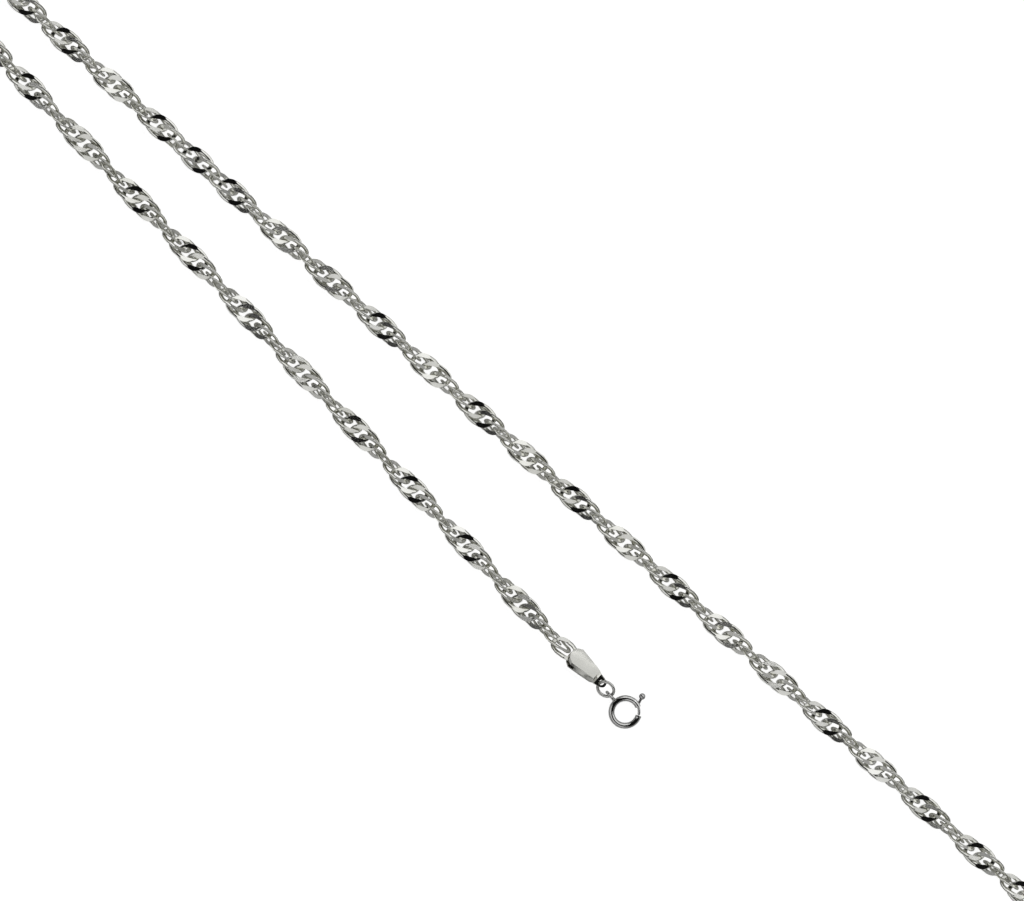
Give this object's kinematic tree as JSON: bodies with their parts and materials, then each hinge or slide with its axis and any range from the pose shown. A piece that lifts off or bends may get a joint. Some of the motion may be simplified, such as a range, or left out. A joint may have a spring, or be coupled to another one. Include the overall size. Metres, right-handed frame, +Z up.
{
  "type": "twisted chain necklace",
  "caption": "Twisted silver chain necklace lying open, with end caps, a jump ring, a spring ring clasp with a sliding lever, and a plain end ring.",
  "frame": {"origin": "middle of the necklace's bounding box, on the surface it lies on", "axes": "+X to the picture's right, +Y to the picture's top, +Z up from the surface"},
  "size_m": [0.1902, 0.1634, 0.0031],
  "materials": {
    "chain_silver": "bright polished silver, flat faces",
    "cap_silver": "polished silver with a soft grain",
    "ring_silver": "polished silver wire",
    "clasp_silver": "bright polished silver tube",
    "lever_silver": "duller silver"
  },
  "bodies": {
    "necklace": {"short_run_chain": "chain_silver", "long_run_chain": "chain_silver", "clasp_end_cap": "cap_silver", "jump_ring": "ring_silver", "clasp_ring": "clasp_silver", "far_end_cap": "cap_silver", "far_ring": "ring_silver"},
    "lever": {"clasp_lever": "lever_silver"}
  },
  "joints": [
    {"name": "clasp_opening", "type": "hinge", "parent": "necklace", "child": "lever", "pos_m": [0.01938, -0.04108, 0.00064], "axis": [0.0677, -0.0739, 0.995], "range_deg": [0, 40], "stiffness_Nm_per_rad": 0.0005}
  ]
}
